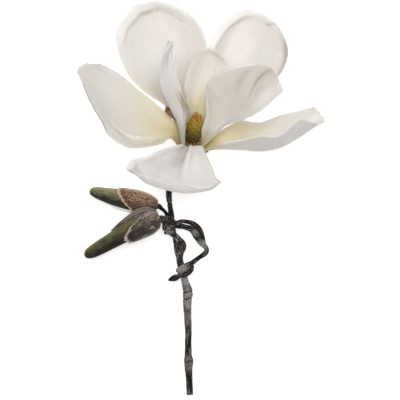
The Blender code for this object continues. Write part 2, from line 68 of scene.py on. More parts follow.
# The seat: heights on the flower's axis, and radii
SEAT = [(-13, 3.4), (-9.5, 4.8), (-6.5, 6.1), (-3, SEAT_RADIUS), (SEAT_TOP, SEAT_RADIUS)]
FORKS = [
    [
        (-14.5, -62, 8, 2.5), (-17, -52, 10.5, 2.7), (-17, -45, 12.5, 2.8), (-15.7, -38, 14.5, 3.9),
        (-19, -32, 17, 2.6), (-25, -27, 18.5, 2.5), (-29.5, -26.5, 19, 2.2),
    ],
    [(-22, -20, 13, 2.8), (-27, -17, 16, 3.6), (-28, -21.5, 18.5, 3.4), (-28.5, -26, 19, 2.6)],
    [
        (-27, -16, 16, 2.2), (-28.5, -11.5, 13.5, 1.4), (-32, -8, 11.5, 1.6), (-33.9, -6.6, 11, 2.2),
        (-37, -5.8, 10.8, 2.4),
    ],
    [(-26, -19, 17, 2.8), (-29.5, -17.5, 20.5, 3.2), (-32, -16.3, 22, 2.8), (-35, -17, 23, 2.8)],
    [
        (-26, -19, 17, 2.4), (-20, -21.5, 20, 2.3), (-13, -23, 22, 2.2), (-7, -25, 22.5, 2.8),
        (-3.5, -30, 22, 3), (0.4, -36, 20, 2.3), (4, -39.5, 19, 2), (4, -43.5, 18, 2.1),
        (-2, -48, 17.5, 1.9), (-8.5, -53, 16, 2.1),
    ],
    [
        (-22, -21, 14, 1.8), (-16, -18.5, 15, 1.7), (-8, -19.6, 16.5, 2), (-2.4, -23.4, 18, 2.2),
        (0.6, -29.3, 19, 2), (2.6, -38, 19, 1.7),
    ],
    [(-7.5, -52, 16, 2.2), (-11, -54.8, 15.8, 3.1), (-15.5, -57, 15.2, 3), (-19, -59.2, 13.5, 2.3)],
    [
        (-8, -52.5, 16, 1.8), (-7.6, -57, 14.5, 1.9), (-11.5, -61, 13.5, 1.9), (-17, -62.6, 13.5, 1.8),
        (-20.8, -64, 13.3, 2.6), (-24, -65.2, 13, 2), (-26.6, -66.3, 13, 0.5),
    ],
]
# Leaf scars round the stem: where along Y, half the ring's width and its depth
SCARS = [(-3.6, 0.7, 0.35), (-75.6, 0.6, 0.4), (-81.2, 0.6, 0.35), (-132.2, 0.7, 0.25), (-100, 0.4, 0.12)]
# Round scars where side twigs broke off: x, y, z, radius
STUB_SCARS = [
    (-23.6, -24.4, 20.6, 2), (-29.2, -27.6, 20.6, 1.5), (-17.6, -20.6, 20, 1.3), (-26, -29.5, 19, 1.2),
]
# Patches of bark: x, y, z, how far it spreads, and its tone, which is paler above 0 and darker below
BARK_PATCHES = [
    (-15.5, -57, 18, 6, 1), (-5, -27, 25, 4, 0.6), (2, -37, 21, 6, 0.8), (-10.5, -79, 10, 5, 0.9),
    (-10.5, -70, 10, 7, 0.6), (-10.5, -85, 9, 5, 0.8), (-10, -133, 6, 8, 0.5), (-24.5, -3.2, 18, 1.6, 1),
    (-25, -27, 20, 4, 0.5), (-10, -96, 7, 9, 0.5), (-24, -65, 13, 6, -1), (-10, -62, 12, 5, -0.9),
    (-3, -21.5, 19, 6, -0.9), (1, -31, 19, 4, -0.8), (-19, -24, 19, 3, -0.8), (-25, -10, 15, 5, -0.5),
    (-29, -10, 13, 6, -0.8), (-13, -66, 9, 4, 1),
]


def spline(points, t):
    """Places on the smooth curve through the points, at the shares t of its length, from 0 to 1."""
    points = np.array(points, float)
    place = np.clip(t, 0, 1) * (len(points) - 1)
    i = np.minimum(place.astype(int), len(points) - 2)
    f = (place - i)[:, None]
    a, b, c, d = (points[np.clip(i + k, 0, len(points) - 1)] for k in (-1, 0, 1, 2))
    return b + 0.5 * f * (c - a + f * (2 * a - 5 * b + 4 * c - d + f * (3 * (b - c) + d - a)))


def unit(vectors):
    """The same directions at a length of 1."""
    return vectors / np.maximum(np.linalg.norm(vectors, axis=-1, keepdims=True), 1e-9)


def bell(distance, width):
    """1 at a distance of 0, falling smoothly to near 0 past the width."""
    return np.exp(-((distance / width) ** 2))


def run_along(points):
    """How far along a line of points each point is."""
    return np.concatenate([[0], np.cumsum(np.linalg.norm(np.diff(points, axis=0), axis=1))])


def limb_frames(stations, rings):
    """Centres, radii and two directions, side and across, at each ring of a limb."""
    points = spline(stations, np.linspace(0, 1, rings + 1))
    centres, radii = points[:, :3], points[:, 3]
    along = unit(np.gradient(centres, axis=0))
    side = np.empty_like(along)
    last = np.array((0, 0, 1))
    for i, way in enumerate(along):
        last = unit(last - last.dot(way) * way)
        side[i] = last
    return centres, radii, side, np.cross(along, side)


def tube(stations, rings, sides):
    """Vertices and faces of a closed round limb."""
    centres, radii, side, across = limb_frames(stations, rings)
    turn = np.linspace(0, 2 * math.pi, sides, endpoint=False)[None, :, None]
    out = np.cos(turn) * side[:, None] + np.sin(turn) * across[:, None]
    points = centres[:, None] + radii[:, None, None] * out
    faces = [
        (i * sides + k, i * sides + (k + 1) % sides, (i + 1) * sides + (k + 1) % sides, (i + 1) * sides + k)
        for i in range(rings)
        for k in range(sides)
    ]
    faces.append(tuple(range(sides))[::-1])
    faces.append(tuple(rings * sides + k for k in range(sides)))
    return points.reshape(-1, 3), faces


def join(parts):
    """Several (vertices, faces) as one."""
    vertices, faces, count = [], [], 0
    for points, cells in parts:
        vertices.append(points)
        faces += [tuple(count + k for k in cell) for cell in cells]
        count += len(points)
    return np.concatenate(vertices), faces


def piece(name, vertices, faces, material, **values):
    """A smooth object from its vertices. The values are kept with them for the material."""
    mesh = bpy.data.meshes.new(name)
    mesh.from_pydata((np.asarray(vertices) * MM).tolist(), [], faces)
    mesh.shade_smooth()
    for key, each in values.items():
        is_vector = np.size(each) == 3 * len(mesh.vertices)
        made = mesh.attributes.new(key, "FLOAT_VECTOR" if is_vector else "FLOAT", "POINT")
        made.data.foreach_set("vector" if is_vector else "value", np.ravel(each).astype(np.float32))
    made = bpy.data.objects.new(name, mesh)
    bpy.context.scene.collection.objects.link(made)
    made.data.materials.append(material)
    return made


def settle(made, node):
    """Fixes a piece to the flower's one body in place of its solid."""
    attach(made, "root")
    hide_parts(node)


def roughen(points, size, seed):
    """A smooth random number from -1 to 1 for each point. Its forms are of about that size."""
    shift = Vector((seed * 17.3, seed * -9.1, seed * 5.7))
    return np.array([noise.noise(Vector(p) / size + shift) for p in points])


class Value:
    """Something that varies over a surface. Arithmetic on it adds Math nodes to its material."""

    def __init__(self, paint, socket):
        self.paint = paint
        self.socket = socket

    def math(self, operation, first, second):
        return self.paint.node("ShaderNodeMath", {"operation": operation}, {0: first, 1: second})

    def __add__(self, other):
        return self.math("ADD", self, other)

    def __mul__(self, other):
        return self.math("MULTIPLY", self, other)

    def __sub__(self, other):
        return self.math("SUBTRACT", self, other)

    def __rsub__(self, other):
        return self.math("SUBTRACT", other, self)

    __radd__ = __add__
    __rmul__ = __mul__

    def rise(self, low, high):
        """0 below low, 1 above high, and smooth between. With low above high it falls instead."""
        settings = {"interpolation_type": "SMOOTHSTEP"}
        if low > high:
            return 1 - self.rise(high, low)
        return self.paint.node("ShaderNodeMapRange", settings, {0: self, 1: low, 2: high})


class Paint:
    """One material. Its fixed finish is given by socket name."""

    def __init__(self, name, **fixed):
        self.material = bpy.data.materials.new(name)
        self.material.use_nodes = True
        self.tree = self.material.node_tree
        self.shader = self.tree.nodes["Principled BSDF"]
        for socket, value in fixed.items():
            self.shader.inputs[socket.replace("_", " ")].default_value = value

    def node(self, kind, settings=None, inputs=None, output=0):
        """Adds a node: its settings first, then its sockets' values or links."""
        made = self.tree.nodes.new(kind)
        for key, value in (settings or {}).items():
            setattr(made, key, value)
        for key, value in (inputs or {}).items():
            if isinstance(value, Value):
                self.tree.links.new(value.socket, made.inputs[key])
            else:
                made.inputs[key].default_value = value
        return Value(self, made.outputs[output])

    def kept(self, name, output=2):
        """A value kept with the vertices: output 2 is a number and 1 a vector."""
        return self.node("ShaderNodeAttribute", {"attribute_name": name}, output=output)

    def place(self):
        """Where the surface is, in metres."""
        return self.node("ShaderNodeTexCoord", output=3)

    def stretch(self, vector, scale):
        """A place scaled by a number for each direction. A small number draws a pattern out that way."""
        return self.node("ShaderNodeVectorMath", {"operation": "MULTIPLY"}, {0: vector, 1: scale})

    def cloud(self, vector, scale, detail=3, warp=0):
        """Soft random patches from 0 to 1."""
        return self.node("ShaderNodeTexNoise", inputs={
            "Vector": vector, "Scale": scale, "Detail": detail, "Distortion": warp,
        })

    def layers(self, colour, *coats):
        """A colour with coats laid over it in turn, each as how much of it shows and its colour."""
        colour = (*colour, 1)
        for share, coat in coats:
            inputs = {0: share, 6: colour, 7: (*coat, 1)}
            colour = self.node("ShaderNodeMix", {"data_type": "RGBA"}, inputs, output=2)
        return colour

    def finish(self, colour, roughness=None, relief=None, depth=0):
        """Links the colour, the roughness and the relief, in metres, and gives the material."""
        self.tree.links.new(colour.socket, self.shader.inputs["Base Color"])
        if roughness is not None:
            self.tree.links.new(roughness.socket, self.shader.inputs["Roughness"])
        if relief is not None:
            bump = self.node("ShaderNodeBump", inputs={"Strength": 1, "Distance": depth, "Height": relief})
            self.tree.links.new(bump.socket, self.shader.inputs["Normal"])
        return self.material


# The flower's own frame: +Z up its axis, +X to the right, +Y to the back
axis = Vector((math.sin(LEAN) * math.cos(RISE), math.cos(LEAN) * math.cos(RISE), math.sin(RISE)))
right = (Vector((1, 0, 0)) - axis.x * axis).normalized()
turned = Matrix((right, axis.cross(right), axis)).transposed().to_4x4()
FLOWER = Matrix.Translation(FLOWER_SEAT) @ turned


def in_flower(rows):
    """A limb's stations, from rows of distance from the flower's axis, turn, height and radius."""
    return [
        (*(FLOWER @ Vector((out * math.cos(turn), out * math.sin(turn), up))), radius)
        for out, turn, up, radius in rows
    ]


def grown_skin(limbs):
    """The limbs merged into one skin with soft crotches, and each point's place along and round its limb."""
    tubes = [tube(stations, len(stations) * LIMB_RINGS, LIMB_SIDES) for stations in limbs]
    skin = piece("limbs", *join(tubes), None)
    merge = skin.modifiers.new("Merge", "REMESH")
    merge.mode = "VOXEL"
    merge.voxel_size = BARK_VOXEL * MM
    soften = skin.modifiers.new("Soften", "SMOOTH")
    soften.factor = 0.6
    soften.iterations = 5
    graph = bpy.context.evaluated_depsgraph_get()
    mesh = bpy.data.meshes.new_from_object(skin.evaluated_get(graph))
    bpy.data.objects.remove(skin)
    points = np.array([vertex.co for vertex in mesh.vertices]) / MM
    normals = np.array([vertex.normal for vertex in mesh.vertices])
    faces = [tuple(p.vertices) for p in mesh.polygons]
    rows = []
    for stations in limbs:
        centres, _, side, across = limb_frames(stations, len(stations) * GRAIN_ROWS)
        rows += list(zip(centres, side, across, run_along(centres) + GRAIN_SHIFT * len(rows)))
    tree = kdtree.KDTree(len(rows))
    for k, row in enumerate(rows):
        tree.insert(row[0], k)
    tree.balance()
    grain = np.empty_like(points)
    for k, point in enumerate(points):
        centre, side, across, run = rows[tree.find(point)[1]]
        grain[k] = ((point - centre).dot(side), (point - centre).dot(across), run)
    return points, normals, faces, grain


paint = Paint("bark", Specular_IOR_Level=0.15)
kept_grain = paint.kept("grain", 1)
streaks = paint.cloud(paint.stretch(kept_grain, (1, 1, 0.16)), 1.1, 5, 0.6)
fibres = paint.cloud(paint.stretch(kept_grain, (1, 1, 0.06)), 2.6, 3, 0.3)
flecks = paint.cloud(kept_grain, 2.2, 4)
kept_pale = paint.kept("pale")
colour = paint.layers(
    (0.004, 0.003, 0.003),
    (streaks.rise(0.42, 0.66), (0.023, 0.018, 0.017)),
    (fibres.rise(0.56, 0.61) * streaks.rise(0.46, 0.54), (0.44, 0.41, 0.39)),
    (kept_pale.rise(0, 1) * flecks.rise(0.42, 0.54), (0.43, 0.4, 0.38)),
    (flecks.rise(0.62, 0.68) * 0.7, (0.4, 0.37, 0.35)),
    (kept_pale.rise(0, -1) * 0.85, (0.01, 0.008, 0.008)),
    (paint.kept("scar").rise(0.15, 0.8) * 0.9, (0.008, 0.006, 0.006)),
)
bark = paint.finish(colour, 0.55 + streaks * 0.35, streaks * 0.6 + fibres * 0.4, 0.0006)

stem = [*STEM, *in_flower((0, 0, height, radius) for height, radius in SEAT)]
points, normals, faces, grain = grown_skin([stem, *FORKS])
scar = np.zeros(len(points))
relief = np.zeros(len(points))
pale = np.zeros(len(points))
on_stem = grain[:, 2] < STEM_END
for place, half, depth in SCARS:
    wander = points[:, 1] - place + 0.5 * np.sin(points[:, 0] * 0.9)
    ring = bell(wander, half) * on_stem
    rim = bell(np.abs(wander) - 2.2 * half, half) * on_stem
    scar = np.maximum(scar, ring * min(1, depth * 3))
    relief += 0.5 * depth * rim - depth * ring
for x, y, z, radius in STUB_SCARS:
    apart = np.linalg.norm(points - (x, y, z), axis=1) / radius
    scar = np.maximum(scar, np.clip(3 - 3 * apart, 0, 1))
    rim = bell(apart - 1.2, 0.25)
    relief += 0.35 * rim - 0.5 * bell(1.4 * apart, 1)
    pale += rim
relief += 0.25 * roughen(grain * (1, 1, 0.12), 0.9, 1) + 0.12 * roughen(grain, 1.4, 2)
for x, y, z, spread, tone in BARK_PATCHES:
    apart = np.linalg.norm(points - (x, y, z), axis=1)
    pale += tone * np.clip(1.3 - apart / spread, 0, 1)
points += relief[:, None] * normals
points[:, 2] = np.maximum(points[:, 2], 0)
settle(piece("bare_twig", points, faces, bark, grain=grain, scar=scar, pale=pale), "twig")

# The two flower buds. Each is closed in a smooth green leathery coat, long and slightly ribbed, and grows on
# a short stalk of the side twig. They are soft, plump forms with a blunt tip and a faint down.
UPPER_BUD = [
    (-35, -6, 10.8, 2.4), (-37, -5.6, 10.8, 4.4), (-44, -4.2, 10.6, 7.2), (-53, -2.4, 10.2, 8.2),
    (-62, -0.6, 10, 7.8), (-70, 1, 9.8, 7), (-78, 3, 9.6, 5.8), (-84.6, 4.8, 9.5, 4.6),
    (-88.8, 5.8, 9.4, 3), (-90.3, 6.1, 9.4, 1),
]
LOWER_BUD = [
    (-33, -16.4, 22.6, 3.2), (-35.9, -17.2, 23.2, 6.1), (-42.5, -19.6, 24, 8.3), (-53, -24.4, 25, 8),
    (-63, -29.2, 25.6, 7.1), (-73, -34.8, 26, 6.4), (-82, -40, 26.2, 5.7), (-88, -43.3, 26.2, 4.9),
    (-92, -45.4, 26.2, 3.3), (-93.6, -46.2, 26.2, 1.1),
]
BUD_RINGS = 110
BUD_SIDES = 72
# How many ribs go round a bud, their height and their twist, and how uneven its coat is besides
BUD_RIBS = ((7, 0.14, 2.5), (17, 0.07, -3))
BUD_UNEVEN = 0.12


def bud_coat(name, dark, green, light, tip):
    """The bud's skin: painted light on the side that faces +Y, painted shade on the side that faces -Y, dark
    in blotches, with its own colour at the tip and a pale painted highlight along the side that faces
    furthest towards -Y.
    """
    paint = Paint(name, Specular_IOR_Level=0.25, Sheen_Weight=0.12, Sheen_Roughness=0.5)
    grain = paint.kept("grain", 1)
    streaks = paint.cloud(paint.stretch(grain, (1, 1, 0.12)), 1.1, 4, 0.4)
    patches = paint.cloud(paint.stretch(grain, (1, 1, 0.5)), 0.28, 4, 0.5)
    specks = paint.cloud(grain, 1.5, 2)
    low = paint.kept("low") + (patches - 0.5) * 1.6
    colour = paint.layers(
        green,
        (streaks.rise(0.3, 0.7) * 0.6, light),
        # Painted light on the side that faces +Y, then painted shade on the side that faces -Y
        (low.rise(-0.1, -0.9), light),
        (low.rise(-0.25, 0.55), dark),
        (patches.rise(0.56, 0.7) * 0.6, dark),
        (specks.rise(0.68, 0.74) * 0.9, (0.02, 0.012, 0.01)),
        (paint.kept("share").rise(0.88, 1) * 0.5, tip),
        # A pale painted highlight along the side that faces furthest towards -Y
        (paint.kept("low").rise(0.9, 1) * 0.8, (0.29, 0.285, 0.26)),
    )
    return paint.finish(colour, 0.5 + streaks * 0.25, streaks * 0.8 + specks * 0.3, 0.00035)


def build_bud(name, node, stations, material):
    """A bud: a closed limb with low ribs along it."""
    vertices, faces = tube(stations, BUD_RINGS, BUD_SIDES)
    share = np.repeat(np.linspace(0, 1, BUD_RINGS + 1), BUD_SIDES)
    turn = np.tile(np.linspace(0, 2 * math.pi, BUD_SIDES, endpoint=False), BUD_RINGS + 1)
    centres, radii, *_ = limb_frames(stations, BUD_RINGS)
    centres, radii = np.repeat(centres, BUD_SIDES, axis=0), np.repeat(radii, BUD_SIDES)
    run = np.linalg.norm(centres - centres[0], axis=1)
    ribs = sum(height * np.cos(count * turn + twist * share) for count, height, twist in BUD_RIBS)
    grain = np.stack([radii * np.cos(turn), radii * np.sin(turn), run], axis=1)
    ribs = ribs + BUD_UNEVEN * roughen(grain * (0.3, 0.3, 0.1), 1, 3)
    ribs *= np.sin(math.pi * np.clip(share, 0.02, 0.985)) ** 0.5
    outward = unit(vertices - centres)
    vertices = vertices + ribs[:, None] * outward
    # low is how far each point faces -Y; the skin places its painted light and shade by it
    made = piece(name, vertices, faces, material, grain=grain, share=share, low=-outward[:, 1])
    settle(made, node)


grey_green = bud_coat(
    "grey_green_bud", (0.017, 0.017, 0.009), (0.09, 0.095, 0.043), (0.27, 0.26, 0.12), (0.12, 0.13, 0.085),
)
olive_green = bud_coat(
    "olive_green_bud", (0.005, 0.004, 0.002), (0.024, 0.021, 0.006), (0.13, 0.116, 0.036),
    (0.03, 0.027, 0.014),
)
build_bud("upper_bud", "bud_upper", UPPER_BUD, grey_green)
build_bud("lower_bud", "bud_lower", LOWER_BUD, olive_green)

# The brown bud scales. Thin dry husks that closed round the buds and have split. They are papery, streaked
# along their length, with torn ends. They are held at the bud's foot and stand a little off it.
SCALE_THICK = 0.5
SCALE_GAP = 0.9
# The torn end: how deep it is as a share of the bud's length, and how many teeth, their size and a seed
TEAR = 0.028
TEETH = ((9, 1, 0), (27, 0.5, 5), (60, 0.4, 9))
# A husk laid flat: millimetres for a degree round the bud and for the bud's length
DEGREE_WIDTH = 0.13
BUD_LENGTH = 58
# How far ahead along the bud a husk's direction is taken
LOOK_AHEAD = 0.02
# From one side to the other: degrees round the bud from its top, the shares of the bud's length where the
# husk starts and ends, and how far its middle and its end stand off the bud
UPPER_EDGE = [
    (-100, 0.06, 0.56, 0, 0.4), (-66, 0.05, 0.355, 0, 0), (0, 0.04, 0.485, 0, 0.3), (45, 0.05, 0.54, 0, 0.3),
    (120, 0.06, 0.53, 0, 0),
]
FRONT_EDGE = [
    (-150, 0.07, 0.3, 0.4, 0), (-88, 0.07, 0.36, 0.2, 0.8), (-50, 0.06, 0.44, 0.2, 1.8),
    (0, 0.06, 0.42, 0.2, 0.4), (40, 0.07, 0.28, 0.2, 0), (74, 0.08, 0.19, 0.2, 0),
]
BACK_EDGE = [
    (84, 0.02, 0.5, 3.9, 0), (115, 0.03, 0.5, 2.8, 0), (150, 0.05, 0.42, 1.2, 0), (185, 0.08, 0.3, 0.7, 0),
]
HUSK_ROWS = 70
HUSK_COLUMNS = 80


def sheet_piece(name, front, back, material, **values):
    """A thin closed sheet between two grids of points. Values are given for one grid and kept on both, as is
    which face it is: 0 is the front."""
    rows, columns = front.shape[:2]
    index = np.arange(rows * columns).reshape(rows, columns)
    a, b, c, d = index[:-1, :-1], index[:-1, 1:], index[1:, 1:], index[1:, :-1]
    top = np.stack([a, b, c, d], axis=-1).reshape(-1, 4)
    under = top[:, ::-1] + rows * columns
    rim = np.concatenate([index[0, :-1], index[:-1, -1], index[-1, :0:-1], index[:0:-1, 0]])
    step = np.roll(rim, -1)
    band = np.stack([step, rim, rim + rows * columns, step + rows * columns], axis=-1)
    vertices = np.concatenate([front.reshape(-1, 3), back.reshape(-1, 3)])
    faces = [tuple(face) for face in np.concatenate([top, under, band]).tolist()]
    values = {key: np.tile(np.ravel(each), 2) for key, each in values.items()}
    return piece(name, vertices, faces, material, face=np.repeat((0, 1), rows * columns), **values)


def husk_skin(name, dark, light, pale, painted_shade_span, under=0.0, over=0.0):
    """A husk's dry skin. It is painted with shade between the two places of its shade span, from -1 on its
    upper side to 1 on its lower side. Under and over are how much painted light its lower and its upper side
    get at their furthest."""
    paint = Paint(name, Specular_IOR_Level=0.25, Sheen_Weight=0.3, Sheen_Roughness=0.4)
    sheet = paint.kept("sheet", 1)
    streaks = paint.cloud(paint.stretch(sheet, (1, 0.12, 1)), 1.8, 6, 0.5)
    fibres = paint.cloud(paint.stretch(sheet, (1, 0.2, 1)), 4.5, 3, 0.4)
    patches = paint.cloud(sheet, 0.22, 4, 0.6)
    pits = paint.cloud(paint.stretch(sheet, (1, 0.5, 1)), 1.4, 3)
    rim = paint.kept("rim") + (streaks - 0.5) * 0.1
    low = paint.kept("low") + (patches - 0.5) * 1.2
    colour = paint.layers(
        dark,
        (streaks.rise(0.4, 0.6), light),
        (fibres.rise(0.52, 0.6) * 0.85, pale),
        # Painted shade across the shade span, then painted light on the lower and the upper side at their
        # furthest
        (low.rise(*painted_shade_span) * 0.85, dark),
        (paint.kept("low").rise(0.62, 0.95) * under, pale),
        (paint.kept("low").rise(-0.72, -0.86) * over, pale),
        (patches.rise(0.56, 0.68) * 0.5, pale),
        (pits.rise(0.56, 0.66) * 0.75, dark),
        (rim.rise(0.76, 0.86) * 0.55, dark),
        (rim.rise(0.9, 0.96) * 0.95, pale),
    )
    return paint.finish(colour, 0.6 + streaks * 0.3, streaks * 0.5 + fibres * 0.3 - pits * 0.4, 0.0009)


def build_husk(name, node, bud, edge, material, seed):
    """A husk round a bud, with u along the bud and v round it."""
    v = np.linspace(0, 1, HUSK_COLUMNS + 1)
    u = np.linspace(0, 1, HUSK_ROWS + 1)[:, None]
    angle, start, end, arch, flare = (spline(edge, v)[:, k] for k in range(5))
    torn = np.array([
        sum(size * noise.noise((x * count, seed, shift)) for count, size, shift in TEETH) for x in v
    ])
    length = end - start + TEAR * torn
    share = start + length * u
    degrees = np.broadcast_to(angle, share.shape).ravel()
    share = share.ravel()
    at = spline(bud, share)
    ahead = unit((spline(bud, share + LOOK_AHEAD) - spline(bud, share - LOOK_AHEAD))[:, :3])
    up = unit(np.array((0, 0, 1)) - ahead[:, 2:] * ahead)
    angle = np.radians(degrees)[:, None]
    out = np.cos(angle) * up + np.sin(angle) * np.cross(ahead, up)
    sheet = np.stack([degrees * DEGREE_WIDTH, share * BUD_LENGTH, 0 * share + seed], axis=1)
    creases = 0.12 * roughen(sheet * (1, 0.08, 1), 1.2, seed)
    creases += 0.15 * roughen(sheet * (0.5, 0.15, 1), 2, seed)
    lift = (arch * np.sin(math.pi * u) + flare * u**2).ravel()
    near = at[:, 3] + SCALE_GAP + lift + creases
    rim = np.maximum(np.abs(2 * v - 1)[None, :], u).ravel()
    thick = SCALE_THICK * (1 - 0.6 * rim**6)
    grid = (HUSK_ROWS + 1, HUSK_COLUMNS + 1, 3)
    inner = (at[:, :3] + near[:, None] * out).reshape(grid)
    outer = (at[:, :3] + (near + thick)[:, None] * out).reshape(grid)
    # low is how far each point faces -Y; the skin places its painted light and shade by it
    made = sheet_piece(name, outer, inner, material, sheet=sheet, rim=rim, low=-out[:, 1])
    settle(made, node)


# Each husk's skin has its own span of painted shade and its own painted light on its lower and upper sides
tan_husk = husk_skin(
    "tan_husk", (0.055, 0.028, 0.014), (0.36, 0.225, 0.125), (0.68, 0.46, 0.31), (-0.4, 0.5), over=0.6,
)
purple_husk = husk_skin(
    "purple_husk", (0.014, 0.008, 0.008), (0.32, 0.225, 0.175), (0.5, 0.42, 0.36), (-0.6, 0.3), 0.55, 0.4,
)
pale_husk = husk_skin(
    "pale_husk", (0.055, 0.032, 0.026), (0.36, 0.26, 0.2), (0.68, 0.56, 0.48), (-0.9, -0.3), over=0.95,
)
build_husk("upper_husk", "scale_upper", UPPER_BUD, UPPER_EDGE, tan_husk, 1)
build_husk("front_husk", "scale_lower_front", LOWER_BUD, FRONT_EDGE, purple_husk, 2)
build_husk("back_husk", "scale_lower_back", LOWER_BUD, BACK_EDGE, pale_husk, 3)

# The tepals. Each is one thick, soft white petal that narrows to a claw on the seat. It is cream to yellow at
# the claw, faintly veined along its length, and thin and a little crumpled at its margin.
TEPAL_ROWS = 150
TEPAL_COLUMNS = 96
CLAW_THICK = 1.5
BLADE_THICK = 0.9
MARGIN_THINNER = 0.6
# How a claw curves round the seat, and how far it stands off it
CLAW_CURVE = 0.05
FIT_GAP = 0.3
# Where the claws' middles stand, along the flower's axis
OUTER_LEVEL = -6
INNER_LEVEL = -1
# The shares of the length and of the half width past which a blade bends back
TIP_START = 0.8
SIDE_START = 0.6
# How finely the margin is marked off, and the share of it over which a roll fades in or out
RIM_STEP = 0.3
ROLL_FADE = 0.09
# The ring of painted shade inside a rolled margin: how far in it is, its width and how dark it is against the
# crest
RING_IN = 2.6
RING_WIDTH = 1.6
RING_DARK = 0.6
# Four kinds of unevenness, soft waves, crumples, torn edges and wandering lines: stretch and size
UNEVEN = ((0.35, 9), (1, 5), (1, 2.5), (0.25, 5))
# Where a blade lies on the table: how far it sinks, how softly it flattens and its least height
SINK = 0.35
FLATTEN = 2
LEAST_HEIGHT = 0.02


def reach(value, start):
    """0 up to start, rising to 1 at a value of 1."""
    return np.clip((value - start) / (1 - start), 0, None)


def grid_normals(sheet):
    """The way that each point of a grid of points faces."""
    return unit(np.cross(np.gradient(sheet, axis=1), np.gradient(sheet, axis=0)))


def claw_rib(turn, level, width):
    """The first rib, which sits against the seat's side."""
    angle = math.radians(turn)
    outward = Vector((math.cos(angle), math.sin(angle), 0))
    sideways = Vector((0, 0, 1)).cross(outward)
    centre = outward * (SEAT_RADIUS + FIT_GAP + CLAW_THICK / 2) + Vector((0, 0, level))
    spans = (-width / 2, 0, width / 2)
    return [tuple(FLOWER @ (centre - span * sideways - CLAW_CURVE * span**2 * outward)) for span in spans]


def tepal_sheet(ribs, rows, columns, claw, flare, wave, rounded=0):
    """A blade's middle surface as a grid of points, with u along it and v across it from -1 to 1. Its ribs
    run from left to right. Claw is the first rib's turn, level and width, flare is how far the left side, the
    tip and the right side bend back, wave is a ripple's height and count, and rounded draws the tip in."""
    full = [claw_rib(*claw), *ribs]
    v, u = np.meshgrid(np.linspace(-1, 1, columns + 1), np.linspace(0, 1, rows + 1))
    drawn_in = rounded * reach(u, TIP_START) ** 2 * np.abs(v) ** 3
    left, mid, right = (
        spline([rib[k] for rib in full], (u - drawn_in).ravel()).reshape(*u.shape, 3) for k in range(3)
    )
    across = (v * (1 - drawn_in))[..., None]
    sheet = mid + across * (right - left) / 2 + across**2 * ((left + right) / 2 - mid)
    height, count = wave
    tip = reach(u, TIP_START) ** 2
    back = flare[0] * reach(-v, SIDE_START) ** 2 + flare[2] * reach(v, SIDE_START) ** 2
    ripple = height * np.sin(2 * math.pi * count * u + 2.4 * v) * np.abs(v) ** 3
    shift = np.minimum(1, 2 * u) * (1 - tip) * (ripple - back) - tip * flare[1]
    return sheet + shift[..., None] * grid_normals(sheet), u, v


def fold_lines(folds, u, v, length, half):
    """The relief and the painted shade of folds, which is painted light where below 0. Each is u and v at
    both ends, width, height and shade; with a height of 0 it is painted shade, or painted light below 0, with
    no relief.
    """
    relief, shade = np.zeros(u.shape), np.zeros(u.shape)
    for u0, v0, u1, v1, width, height, dark in folds:
        start = np.array((u0 * length, v0 * half))
        step = np.array(((u1 - u0) * length, (v1 - v0) * half))
        place = np.stack([u * length, v * half], axis=-1) - start
        along = np.clip(place @ step / step.dot(step), 0, 1)
        apart = np.linalg.norm(place - along[..., None] * step, axis=-1)
        line = bell(apart, width) * (0.35 + 0.65 * np.sin(math.pi * np.clip(along, 0.12, 0.88)))
        relief += height * line
        shade += dark * line
    return relief, shade


def near_margin(sheet):
    """Each point's distance from the margin and the nearest place on it, from -1 left of the claw to 0 at the
    tip and 1 right of the claw."""
    rim = np.concatenate([sheet[:, 0], sheet[-1, 1:-1], sheet[::-1, -1]])
    run = run_along(rim)
    fine = np.arange(0, run[-1], RIM_STEP)
    tree = kdtree.KDTree(len(fine))
    for k, mark in enumerate(np.stack([np.interp(fine, run, rim[:, k]) for k in range(3)], axis=1)):
        tree.insert(mark, k)
    tree.balance()
    found = [tree.find(point) for point in sheet.reshape(-1, 3)]
    far = np.array([distance for _, _, distance in found])
    place = np.array([2 * fine[k] / run[-1] - 1 for _, k, _ in found])
    return far.reshape(sheet.shape[:2]), place.reshape(sheet.shape[:2])


def roll_margin(rolls, far, place):
    """The relief and the painted shade of rolled margins. Each is its two ends along the margin, its width,
    how high its crest is, how far it drops, how much painted light its band has (painted shade below 0), and
    how bright a painted highlight its crest has, with a ring of painted shade inside."""
    relief, shade = np.zeros(far.shape), np.zeros(far.shape)
    for low, high, width, crest, drop, pale, line in rolls:
        window = np.clip((place - low) / ROLL_FADE, 0, 1) * np.clip((high - place) / ROLL_FADE, 0, 1)
        window = window**2 * (3 - 2 * window)
        band = np.clip(1 - far / width, 0, 1)
        relief += window * (crest * bell(far - width, 0.55 * width) - drop * band**2)
        # Painted light on the band, a painted highlight along the crest, and a ring of painted shade inside
        # it
        shade -= window * pale * np.clip(3 * band, 0, 1)
        shade -= line * window * bell(far - width, 0.8)
        shade += RING_DARK * line * window * bell(far - width - RING_IN, RING_WIDTH)
    return relief, shade


